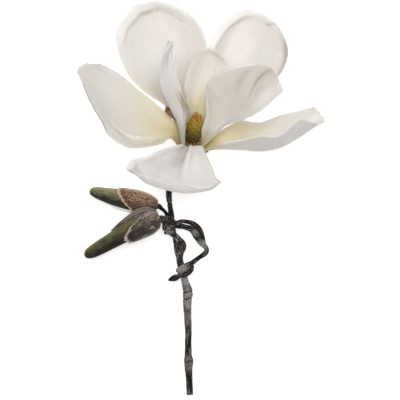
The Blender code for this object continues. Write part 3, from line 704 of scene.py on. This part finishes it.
def build_tepal(
    side, material, seed, ribs, folds=(), rolls=(), stains=(), spikes=(), ragged=0,
    wrinkles=(0, 3), rows=TEPAL_ROWS, columns=TEPAL_COLUMNS, **shape,
):
    """One tepal. A spike is its place along the margin, its length and its half width, ragged is how torn the
    tip is, and wrinkles are their height and spacing."""
    sheet, u, v = tepal_sheet(ribs, rows, columns, **shape)
    normals = grid_normals(sheet)
    length = run_along(sheet[:, columns // 2])[-1]
    half = run_along(sheet[rows // 2])[-1] / 2
    far, place = near_margin(sheet)
    folded, shade = fold_lines(folds, u, v, length, half)
    rolled, tone = roll_margin(rolls, far, place)
    _, stain = fold_lines(stains, u, v, length, half)
    grown = np.minimum(1, 3 * u)
    blade = np.stack([v * half, u * length, 0 * u], axis=-1)
    flat = blade.reshape(-1, 3)
    soft, crumple, torn, wander = (
        roughen(flat * (1, stretch, 1), size, seed + k).reshape(u.shape)
        for k, (stretch, size) in enumerate(UNEVEN)
    )
    height, spacing = wrinkles
    lines = height * np.sin(2 * math.pi * v * half / spacing + 3.5 * wander) * (0.6 + soft)
    relief = folded + rolled + (0.35 * soft + 0.5 * crumple * np.exp(-far / 4) + lines) * grown
    outward = (0.4 + ragged * bell(place, 0.12)) * torn
    for at, reach_out, spread in spikes:
        outward = outward + reach_out * bell(place - at, spread)
    outward = outward * np.exp(-far / 1.2) * grown
    sideways = unit(np.gradient(sheet, axis=1)) * v[..., None] ** 7
    ahead = unit(np.gradient(sheet, axis=0)) * u[..., None] ** 30
    sheet = sheet + relief[..., None] * normals + outward[..., None] * (sideways + ahead)
    normals = grid_normals(sheet)
    thick = BLADE_THICK - MARGIN_THINNER * np.exp(-far / 1.5)
    thick = thick + (CLAW_THICK - BLADE_THICK) * np.clip(1 - 6 * u, 0, 1)
    low = sheet[..., 2] - thick / 2 - SINK
    sheet[..., 2] = thick / 2 + np.maximum(0.5 * (low + np.sqrt(low**2 + FLATTEN)), LEAST_HEIGHT)
    inner = sheet + normals * thick[..., None] / 2
    outer = sheet - normals * thick[..., None] / 2
    for face in (inner, outer):
        face[..., 2] = np.maximum(face[..., 2], 0)
    blade[..., 2] = seed * 7
    made = sheet_piece(
        f"{side}_tepal", inner, outer, material, blade=blade, along=u, shade=shade + tone, stain=stain,
        line=lines / max(height, 0.1),
    )
    settle(made, f"tepal_{side}")


def petal_skin(name, white, cream, back, cream_end, claw=(0.5, 0.42, 0.13)):
    """White petal skin, with its own colour on the back. The cream ends at that share of the length. It has
    painted shade in the troughs of the wrinkles, and the painted shade and light kept from the folds and
    rolled margins.
    """
    paint = Paint(
        f"{name}_petal", Specular_IOR_Level=0.25, Subsurface_Weight=0.6, Subsurface_Scale=0.0022,
        Subsurface_Radius=(1, 0.92, 0.8),
    )
    blade = paint.kept("blade", 1)
    veins = paint.cloud(paint.stretch(blade, (0.75, 0.05, 1)), 1, 4, 0.4)
    clouds = paint.cloud(paint.stretch(blade, (0.08, 0.04, 1)), 1, 3)
    crinkle = paint.cloud(paint.stretch(blade, (0.9, 0.45, 1)), 1, 3)
    along = paint.kept("along") + (clouds - 0.5) * 0.15
    shade = paint.kept("shade")
    outer = paint.kept("face")
    colour = paint.layers(
        white,
        (outer * 0.6, back),
        (clouds.rise(0.35, 0.75) * 0.25, back),
        (along.rise(cream_end, 0) * (1 - 0.7 * outer), cream),
        (along.rise(0.24, 0.04) * 0.8, claw),
        (paint.kept("stain"), (0.5, 0.42, 0.17)),
        (veins.rise(0.5, 0.75) * 0.16, (0.45, 0.42, 0.36)),
        # Painted shade in the troughs of the wrinkles
        (paint.kept("line").rise(0.1, -0.7) * 0.55, (0.42, 0.4, 0.42)),
        # The kept shade of the folds and rolled margins: painted shade above 0 and painted light below 0
        (shade.rise(0, 1), (0.38, 0.35, 0.34)),
        (shade.rise(0, -1), (0.97, 0.96, 0.94)),
    )
    return paint.finish(colour, 0.42 + crinkle * 0.2, veins * 0.6 + crinkle * 0.4, 0.0008)


# The whites are not equally bright: creamy, cool and beige white are painted darker than the others, as
# painted shade on the tepals that wear them, besides each skin's own tint
warm_white = petal_skin("warm_white", (0.81, 0.78, 0.757), (0.74, 0.68, 0.51), (0.77, 0.74, 0.715), 0.5)
creamy_white_painted_shade = petal_skin("creamy_white_painted_shade", (0.7, 0.68, 0.66), (0.76, 0.69, 0.47), (0.69, 0.66, 0.65), 0.75)
cool_white_painted_shade = petal_skin("cool_white_painted_shade", (0.76, 0.73, 0.715), (0.68, 0.63, 0.45), (0.68, 0.645, 0.64), 0.3)
beige_white_painted_shade = petal_skin(
    "beige_white_painted_shade", (0.71, 0.665, 0.62), (0.72, 0.665, 0.57), (0.66, 0.62, 0.58), 0.4, (0.6, 0.53, 0.34),
)
yellow_white = petal_skin("yellow_white", (0.86, 0.81, 0.75), (0.64, 0.59, 0.34), (0.76, 0.715, 0.65), 0.55)
mauve_white = petal_skin(
    "mauve_white", (0.93, 0.87, 0.84), (0.68, 0.64, 0.46), (0.93, 0.87, 0.84), 0.3, (0.55, 0.52, 0.3),
)

build_tepal(
    "back_left", warm_white, 1,
    claw=(118, OUTER_LEVEL, 6), flare=(1, 5, 1), wave=(0.8, 2.5), rounded=0.045,
    ribs=[
        ((-26, 71, 37), (-15, 66, 30), (-5, 66, 36)),
        ((-44, 85, 31), (-22, 86, 14), (-2, 84, 28)),
        ((-58.5, 102, 27), (-28, 106, 2.5), (2, 104, 22)),
        ((-67, 121, 22), (-33, 126, -1.2), (4.5, 122, 17)),
        ((-62.5, 139.5, 17), (-37, 144, 0.5), (-2.5, 141, 13)),
        ((-47, 153, 11), (-35.5, 159, 7.5), (-20.5, 154.5, 9)),
    ],
    rolls=[
        (-0.36, 0.05, 5.4, 1, 3, 0.35, 0.4), (-0.02, 0.28, 3.4, 0.8, 2, 0.6, 0.3),
        (0.18, 0.5, 2.2, 0.2, 1, -0.28, 0),
    ],
    stains=[(0.1, -0.4, 0.45, -0.9, 9, 0, 0.22)],
    folds=[
        (0.6, 0, 0.84, -0.2, 24, 0, 0.16), (0.89, -0.52, 0.915, 0.05, 2.4, -0.4, 0.3),
        (0.915, 0.05, 0.89, 0.47, 2.4, -0.4, 0.3), (0.89, 0.47, 0.82, 0.8, 2.4, -0.4, 0.3),
    ],
)
build_tepal(
    "back_right", warm_white, 2,
    claw=(62, OUTER_LEVEL, 6), flare=(2, 4, -1), wave=(0.8, 2), rounded=0.06,
    ribs=[
        ((0, 66, 34), (7, 66, 31), (19, 60, 38)),
        ((4, 84, 26), (16, 87, 14), (43, 77, 31)),
        ((8, 104, 21), (25, 107, 2), (60.3, 95, 26)),
        ((10.5, 122.5, 17), (33, 124, -1.2), (69.3, 114, 22)),
        ((18.8, 138.5, 13), (39, 140, 0.8), (67.3, 132, 17)),
        ((36.5, 147.8, 9), (47, 151, 6), (58, 146.5, 9)),
    ],
    folds=[
        (0.885, 0.56, 0.93, 1, 2.2, -1.2, 0.7), (0.5, 0, 0.8, 0.1, 22, 0, 0.04),
        (0.84, 0.9, 0.56, 0.98, 2.8, -0.3, 0.34),
    ],
    rolls=[(-0.5, 0.14, 4.5, 0.8, 3, 0.55, 0.25), (0.14, 0.7, 3, 0.3, 1.2, -0.5, 0)],
)
build_tepal(
    "left", creamy_white_painted_shade, 3,
    claw=(174, OUTER_LEVEL, 6), flare=(2, 1, 1), wave=(1, 2), rounded=0.03,
    ribs=[
        ((-24, 48.3, 57), (-24, 50.5, 48), (-22, 62, 41)),
        ((-38, 45, 66), (-38, 47, 50), (-35, 75, 37)),
        ((-55, 45.3, 72), (-54, 50, 46), (-51, 88, 34)),
        ((-70.8, 54.2, 72), (-68.5, 66, 44), (-66, 100.7, 34)),
        ((-82.2, 68.6, 67), (-81, 84, 43), (-80.5, 107.8, 38)),
        ((-93.8, 93, 57), (-97.2, 103.8, 49), (-91.6, 107.3, 45)),
    ],
    rolls=[
        (-0.88, -0.36, 7, 1.3, 3, -0.26, 0.4), (-0.46, 0, 1.3, 0.1, 0.3, -0.9, 0.2),
        (0, 0.6, 2.6, 0.3, 0.8, -0.2, 0.1),
    ],
    folds=[
        (0.74, -0.52, 0.6, -0.28, 1.7, 1, -0.5), (0.6, -0.28, 0.46, 0, 2, 1.4, -0.6),
        (0.46, 0, 0.3, 0.12, 1.7, 0.9, -0.35), (0.7, -0.7, 0.36, -0.3, 8, 0, 0.2),
        (0.8, 0.9, 0.93, 0.85, 4, 0, 0.28), (0.45, -0.42, 0.36, -0.2, 4, 0, -0.35),
    ],
    stains=[(0.1, 0.3, 0.32, 0.45, 9, 0, 0.32)],
    spikes=[(0.01, 3, 0.015)],
    ragged=0.8,
)
build_tepal(
    "right", creamy_white_painted_shade, 4,
    claw=(6, OUTER_LEVEL, 6), flare=(1, 2, 2), wave=(1, 2.5),
    ribs=[
        ((14, 53, 42), (13, 40, 47), (14, 44, 57.5)),
        ((31, 62, 36), (30, 40, 48), (32, 47.5, 67)),
        ((48, 62, 33), (47, 38.2, 50), (47, 51.5, 71)),
        ((64, 67, 33), (63, 41.4, 51), (62, 52, 73)),
        ((79, 71.5, 36), (79, 49.6, 54), (76, 64.5, 70)),
        ((89.5, 74, 42), (97, 64, 52), (91, 60.5, 63)),
    ],
    rolls=[(0.1, 0.85, 1.8, 0.2, 0.6, 0.7, 0.3), (0.16, 0.42, 4.6, 0.3, 0.6, 0.3, 0.1)],
    stains=[(0.2, -0.4, 0.45, -0.65, 6, 0, 0.3)],
    folds=[
        (0.3, -0.2, 0.7, -0.1, 5, 0, 0.1), (0.12, 0.2, 0.4, 0.75, 1.4, 0.5, -0.3),
        (0.7, 0.98, 0.82, 0.93, 2, 0.3, -0.9), (0.88, -0.7, 0.97, -0.2, 8, 0, -0.5),
    ],
    ragged=2.6,
)
build_tepal(
    "front", cool_white_painted_shade, 5,
    claw=(264, OUTER_LEVEL, 9), flare=(2, 6, 3), wave=(1, 2),
    ribs=[
        ((0.9, 42, 61), (-8, 41.5, 61), (-17, 43, 59)),
        ((3.1, 37, 68), (-9, 37, 66), (-29, 41, 67)),
        ((7.2, 27, 75), (-13, 25, 73), (-41.5, 36, 76)),
        ((10.4, 18, 79), (-16, 15, 77), (-54, 31, 82)),
        ((16, 12, 80), (-17, 7, 78), (-57.5, 21, 84)),
        ((13, 5, 75), (-17, 1.5, 73), (-48, 11.4, 78)),
    ],
    folds=[
        (0.12, 0.26, 0.42, 0.12, 2.6, -1.8, 0.4), (0.42, 0.12, 0.7, 0.02, 1.8, -1, 0.25),
        (0.12, 0.5, 0.44, 0.27, 5.5, -0.6, 0.55), (0.44, 0.27, 0.6, 0.22, 4.5, 0, 0.2),
        (0.2, 0.04, 0.6, -0.06, 1.8, 1.1, -0.35), (0.3, -0.1, 0.46, -0.17, 1.5, -0.8, 0.5),
        (0.45, 0.6, 0.7, 0.6, 9, 0, 0.3), (0.3, -0.4, 0.66, -0.45, 8, 0, -0.3),
        (0.8, 0.84, 0.775, 0.42, 1.3, 0.8, -0.4), (0.775, 0.42, 0.785, 0.24, 1.3, 0.8, -0.35),
        (0.785, 0.24, 0.745, 0.06, 1.3, 0.8, -0.3), (0.745, 0.06, 0.735, -0.12, 1.3, 0.8, -0.3),
        (0.735, -0.12, 0.79, -0.42, 1.3, 0.8, -0.4), (0.79, -0.42, 0.81, -0.64, 1.5, 0.9, -0.5),
        (0.81, -0.64, 0.76, -0.92, 1.3, 0.8, -0.4), (0.88, -0.5, 0.86, -0.85, 2.8, 0, 0.4),
        (0.87, 0.1, 0.88, -0.2, 2.4, 0, 0.16), (0.62, 0.93, 0.76, 0.86, 1, -0.4, 0.3),
    ],
    rolls=[
        (-0.5, 0.4, 7.6, 0.5, 2.5, -0.24, 0.1), (0.34, 0.66, 5.5, 0.4, 2.5, 0.5, 0),
        (0.5, 0.98, 3.2, 0.5, 1.5, 0.8, 0.3), (-0.98, -0.42, 1.8, 0.1, 0.3, -0.5, 0.2),
    ],
    stains=[(0.08, -0.2, 0.24, -0.25, 7, 0, 0.4)],
    spikes=[(-0.36, 4, 0.012)],
)
build_tepal(
    "inner_right", beige_white_painted_shade, 6,
    claw=(336, INNER_LEVEL, 7), flare=(2, 1, 1), wave=(0.8, 2),
    ribs=[
        ((0.8, 54, 64.5), (7, 51, 59.5), (9, 48, 59)),
        ((4, 66, 62), (14, 60, 61), (19, 58, 67)),
        ((4, 82, 62), (23, 73, 65), (31, 61, 77)),
        ((8, 95, 65), (33, 82, 70), (40.5, 66, 85)),
        ((26, 104, 69), (44, 90, 75), (50, 73, 89.5)),
        ((46, 106.5, 75), (54.5, 94.5, 80), (58.8, 79.5, 90)),
        ((54.8, 102.6, 80), (60.3, 94, 84), (65.2, 84.5, 87)),
    ],
    folds=[
        (0.57, -0.28, 0.8, -0.76, 3, -0.9, 0.35), (0.66, -0.4, 0.86, -0.74, 1.8, 0.6, -0.12),
        (0.57, 0.24, 0.9, -0.56, 1.5, -1, 0.4), (0.7, 0, 0.93, -0.5, 4.5, -0.6, 0.25),
        (0.59, 0.4, 0.73, 0.1, 1, -0.7, 0.35), (0.6, 0.31, 0.77, -0.04, 0.8, 0.4, -0.2),
        (0.5, -0.92, 0.41, -0.3, 3, 1, -0.12), (0.46, -0.95, 0.34, -0.8, 2.5, -0.6, 0.3),
        (0.45, -0.3, 0.75, -0.4, 9, 0, 0.08), (0.2, -0.6, 0.36, -0.8, 3, -0.5, 0.2),
        (0.5, 0.8, 0.92, 0.6, 9, 0, -0.5), (0.22, 0.1, 0.36, 0.5, 9, 0, -0.4),
        (0.66, -0.9, 0.9, -0.96, 1.6, 0, -0.3),
    ],
    rolls=[(-0.06, 0.2, 1, 0.1, 0.2, -0.5, 0.1), (-0.5, -0.07, 2.2, 0.2, 0.4, 0.3, 0)],
    stains=[(0.1, -0.6, 0.36, -0.85, 4, 0, 0.15)],
)
build_tepal(
    "inner_back", yellow_white, 7,
    claw=(92, INNER_LEVEL, 8), flare=(1, 2, 1), wave=(0.6, 2), rounded=0.07,
    ribs=[
        ((-14, 66, 52), (-4, 68, 44), (7, 64, 50)),
        ((-13, 82, 53), (-1, 85, 44), (17, 80, 52)),
        ((-10, 98, 55), (3, 101, 47), (21, 96, 54)),
        ((-6, 110.5, 57), (6, 114, 52), (19.5, 107.5, 57)),
        ((0, 116, 58), (5.5, 118.2, 57), (12, 115, 59)),
    ],
    rolls=[(-0.85, -0.5, 3.5, 0, -2.5, -0.4, 0)],
    stains=[(0.1, 0, 0.32, 0.1, 6, 0, 0.5)],
)
build_tepal(
    "inner_left", mauve_white, 8,
    claw=(200, INNER_LEVEL, 7), flare=(1, 1, 1), wave=(0.6, 2), rounded=0.02,
    ribs=[
        ((-11.5, 60, 66), (-17.8, 59, 58), (-16.5, 62, 51)),
        ((-9.2, 70.5, 73), (-23.8, 72, 62), (-18, 74, 52)),
        ((-15, 86, 80), (-32, 88, 66), (-19, 90, 55)),
        ((-19.3, 101, 85), (-32, 102, 71), (-20.5, 104, 61)),
        ((-19.4, 114, 87), (-29.2, 115, 77), (-22, 117, 68)),
        ((-20, 120.6, 86), (-24, 124.3, 82), (-25, 121, 77)),
    ],
    folds=[
        (0.45, -0.3, 0.8, -0.2, 1.2, 0.3, -0.5), (0.81, -0.2, 0.97, -0.6, 1.8, 0.4, -0.9),
        (0.47, -0.98, 0.37, -0.86, 0.9, -0.6, 0.7), (0.37, -0.86, 0.26, -0.94, 0.9, -0.6, 0.6),
        (0.88, -0.35, 0.97, -0.5, 3.6, 0, -1), (0.3, -0.25, 0.85, -0.35, 4, 0, -0.5),
    ],
    rolls=[(-0.2, 0.12, 1.6, 0.2, 0.3, 0.6, 0), (-0.82, -0.5, 1, 0, 0.1, -0.9, 0)],
    stains=[(0.45, -1, 0.27, -0.95, 4, 0, 1)],
    wrinkles=(0.8, 3.2),
    rows=200,
    columns=140,
)

# Two brown bracts: torn leftovers of the scale that closed round the flower's own bud, dry and stiff, still
# held at the seat between the tepals.
BRACT_LEVEL = -7.2
BRACT_THICK = 0.75
BRACT_WIDTH = 10
BRACT_LENGTH = 30
BRACT_ROWS = 30
BRACT_COLUMNS = 16
bract_brown = husk_skin("bract_brown", (0.14, 0.065, 0.035), (0.42, 0.23, 0.13), (0.5, 0.32, 0.2), (0.3, 1.2))


def build_bract(side, seed, claw, ribs):
    """A bract, bent like a narrow stiff tepal."""
    sheet, u, v = tepal_sheet(ribs, BRACT_ROWS, BRACT_COLUMNS, claw, flare=(0, 0, 0), wave=(0.3, 1))
    normals = grid_normals(sheet)
    crumple = 0.25 * roughen(sheet.reshape(-1, 3), 2.5, seed).reshape(u.shape)
    sheet = sheet + crumple[..., None] * normals
    rim = np.maximum(np.abs(v), u)
    thick = (BRACT_THICK - 0.35 * rim**4 + 0.5 * np.clip(1 - 6 * u, 0, 1))[..., None] * normals / 2
    place = np.stack([v * BRACT_WIDTH / 2, u * BRACT_LENGTH, 0 * u + seed], axis=-1)
    front, back = sheet + thick, sheet - thick
    made = sheet_piece(f"{side}_bract", front, back, bract_brown, sheet=place, rim=rim, low=0 * rim)
    settle(made, f"bract_{side}")


build_bract(
    "left", 4, claw=(150, INNER_LEVEL, 3),
    ribs=[
        ((-18, 58.6, 47.5), (-17, 59.6, 47), (-16, 60.6, 46.5)),
        ((-25.8, 65.8, 50), (-24, 67.4, 48.5), (-21, 69, 48)),
        ((-28.8, 69.2, 52), (-28.7, 71.5, 51.5), (-28, 74, 51)),
    ],
)
build_bract(
    "right", 5, claw=(308, BRACT_LEVEL, 3),
    ribs=[
        ((2.6, 38, 40), (1.6, 36.6, 41), (0.3, 35.6, 41.8)),
        ((5.8, 40, 38.5), (4.6, 38.2, 39.5), (2.6, 36.2, 40.5)),
        ((7, 39.6, 37.5), (6.2, 38.2, 38), (5, 37, 38.5)),
    ],
)

# The stamens' ring. The stamens have dropped, and left a thin disc of soft brown tissue on top of the seat,
# with short fleshy stubs round its edge. The cone stands on it.
DISC_THICK = 1.3
DISC_RADIUS = 5.6
STAMEN_COUNT = 14
paint = Paint("stamen_stubs", Specular_IOR_Level=0.3)
patches = paint.cloud(paint.place(), 700)
colour = paint.layers((0.22, 0.11, 0.035), (patches.rise(0.35, 0.65), (0.46, 0.31, 0.12)))
stamen_tan = paint.finish(colour, 0.5 + patches * 0.3, patches, 0.0002)
low = SEAT_TOP + FIT_GAP
high = low + DISC_THICK
profile = [(0, 0, low, 5.3), (0, 0, low + 0.2, DISC_RADIUS), (0, 0, high - 0.3, DISC_RADIUS), (0, 0, high, 5)]
parts = [tube(in_flower(profile), rings=12, sides=48)]
for k in range(STAMEN_COUNT):
    turn = 2 * math.pi * k / STAMEN_COUNT
    top = high + 1.4 + 0.8 * math.sin(5.3 * k)
    stub = [
        (4.7, turn, low + 0.6, 0.6), (5.7, turn, high + 0.6, 0.75), (6, turn + 0.05, top + 1, 0.6),
        (6.1, turn, top + 1.6, 0.2),
    ]
    parts.append(tube(in_flower(stub), rings=14, sides=12))
settle(piece("stamen_ring", *join(parts), stamen_tan), "stamens")

# The cone of carpels. Some forty green carpels overlap round a spindle in the spirals that plants grow in.
# Each is plump and ends in a short beak that points up and out. They are olive below and yellower above.
CONE_HEIGHT = 22.5
CONE_RADIUS = 5.4
CONE_RINGS = 30
CONE_SIDES = 40
CARPEL_COUNT = 40
CARPEL_RINGS = 22
CARPEL_SIDES = 14
GOLDEN_ANGLE = math.radians(137.508)
# A carpel from its root to its beak: how far up the cone, how far out of it, its radius and its turn
CARPEL = [
    (0, -0.9, 0.9, 0), (0.05, -0.2, 1.5, 0), (0.1, 0.15, 1.55, 0), (0.14, 0.45, 1, 0.03),
    (0.165, 0.9, 0.55, 0.08), (0.19, 1.4, 0.4, 0.16), (0.2, 1.75, 0.16, 0.24),
]


def cone_profile(height):
    """The cone's radius without its carpels, from its foot at 0 to its top at 1."""
    return CONE_RADIUS * (0.78 + 0.22 * math.sin(math.pi * height**1.3)) * (1 - 0.18 * height**4)


paint = Paint("cone_green", Specular_IOR_Level=0.4, Subsurface_Weight=0.2, Subsurface_Scale=0.0008)
streaks = paint.cloud(paint.place(), 900, 4)
colour = paint.layers(
    (0.05, 0.043, 0.003),
    (paint.kept("share").rise(0.15, 0.95), (0.4, 0.26, 0.018)),
    (streaks.rise(0.4, 0.7) * 0.4, (0.26, 0.21, 0.02)),
    (paint.kept("beak").rise(0.7, 1) * 0.6, (0.3, 0.15, 0.03)),
)
cone_green = paint.finish(colour, 0.4 + streaks * 0.25, streaks, 0.0002)
foot = SEAT_TOP + 2 * FIT_GAP + DISC_THICK
core = [(0, 0, foot + CONE_HEIGHT * s, cone_profile(s)) for s in np.linspace(0, 1, 9)]
parts = [tube(in_flower(core), CONE_RINGS, CONE_SIDES)]
shares = [np.repeat(np.linspace(0, 1, CONE_RINGS + 1), CONE_SIDES)]
beaks = [np.zeros((CONE_RINGS + 1) * CONE_SIDES)]
for k in range(CARPEL_COUNT):
    base = 0.05 + 0.75 * (k + 0.5) / CARPEL_COUNT
    route = [
        (cone_profile(base + up) + out, k * GOLDEN_ANGLE + twist, foot + CONE_HEIGHT * (base + up), radius)
        for up, out, radius, twist in CARPEL
    ]
    parts.append(tube(in_flower(route), CARPEL_RINGS, CARPEL_SIDES))
    shares.append(np.full((CARPEL_RINGS + 1) * CARPEL_SIDES, base))
    beaks.append(np.repeat(np.linspace(0, 1, CARPEL_RINGS + 1), CARPEL_SIDES))
kept = {"share": np.concatenate(shares), "beak": np.concatenate(beaks)}
settle(piece("carpel_cone", *join(parts), cone_green, **kept), "cone")

# The styles. The dried tips of the carpels' styles make a small tuft on top of the cone, each one curling
# outwards, orange-brown and brittle.
STYLE_COUNT = 12
# A style's upper end: how far out, its turn, its height and its radius
STYLE = [(0.4, 0.15, 2.8, 0.5), (1, 0.4, 3.3, 0.36), (1.4, 0.7, 3.1, 0.2)]
paint = Paint("dry_styles", Specular_IOR_Level=0.35)
patches = paint.cloud(paint.place(), 800)
colour = paint.layers((0.2, 0.065, 0.006), (patches.rise(0.35, 0.65), (0.6, 0.32, 0.07)))
style_orange = paint.finish(colour, 0.45 + patches * 0.3, patches, 0.0002)
low = SEAT_TOP + 3 * FIT_GAP + DISC_THICK + CONE_HEIGHT
cap = [(0, 0, low, 3.2), (0, 0, low + 0.4, 3.7), (0, 0, low + 0.9, 3.8), (0, 0, low + 1.8, 2.6)]
parts = [tube(in_flower(cap), rings=12, sides=32)]
for k in range(STYLE_COUNT):
    turn = k * GOLDEN_ANGLE
    spread = 0.6 + 3 * math.sqrt((k + 0.5) / STYLE_COUNT)
    route = [(spread * 0.8, turn, low + 0.5, 0.8), (spread, turn, low + 1.9, 0.7)]
    route += [(spread + out, turn + twist, low + up, radius) for out, twist, up, radius in STYLE]
    parts.append(tube(in_flower(route), rings=20, sides=10))
settle(piece("style_tuft", *join(parts), style_orange), "styles")

# The studio, in metres: a plain pale table top, one large soft light high above the flower's top end, a weak
# low one to the right, and even light all round. The camera looks straight down from well above.
FLOOR_SIZE = 6
FLOOR_DROP = 0.0003
LIGHTS = (("high_light", (0, 0.5, 2.7), 1.4, 46), ("low_fill", (1.2, 1, 1), 1.2, 3))
LIGHT_TARGET = Vector((0, 0.03, 0.03))
CAMERA_HEIGHT = 2.5
SENSOR_WIDTH = 36
PHOTO_WIDTH = 400
# How wide a pixel of the photo is, and how high above the table it is that wide
PIXEL = 0.0008
PIXEL_HEIGHT = 0.04
PHOTO_CENTRE = (-0.0008, -0.0012)
scene = bpy.context.scene
bpy.ops.mesh.primitive_plane_add(size=FLOOR_SIZE, location=(0, 0, -FLOOR_DROP))
floor = bpy.context.object
floor.name = "table_top"
paint = Paint("table_white", Specular_IOR_Level=0.1, Roughness=0.9, Emission_Strength=0.55)
mottle = paint.cloud(paint.place(), 3, 2)
floor.data.materials.append(paint.finish(paint.layers((0.93, 0.93, 0.93), (mottle, (0.95, 0.95, 0.95)))))

for name, place, size, power in LIGHTS:
    lamp = bpy.data.lights.new(name, "AREA")
    lamp.shape = "DISK"
    lamp.size = size
    lamp.energy = power
    made = bpy.data.objects.new(name, lamp)
    made.location = place
    made.rotation_euler = (LIGHT_TARGET - Vector(place)).to_track_quat("-Z", "Y").to_euler()
    scene.collection.objects.link(made)

world = bpy.data.worlds.new("studio")
world.use_nodes = True
even_light = world.node_tree.nodes["Background"]
even_light.inputs["Color"].default_value = (1, 1, 1, 1)
even_light.inputs["Strength"].default_value = 0.28
scene.world = world
scene.view_settings.view_transform = "Standard"

lens = bpy.data.cameras.new("camera")
lens.sensor_width = SENSOR_WIDTH
lens.lens = SENSOR_WIDTH * (CAMERA_HEIGHT - PIXEL_HEIGHT) / (PHOTO_WIDTH * PIXEL)
lens.clip_end = 20
camera = bpy.data.objects.new("camera", lens)
camera.location = (*PHOTO_CENTRE, CAMERA_HEIGHT)
scene.collection.objects.link(camera)
scene.camera = camera
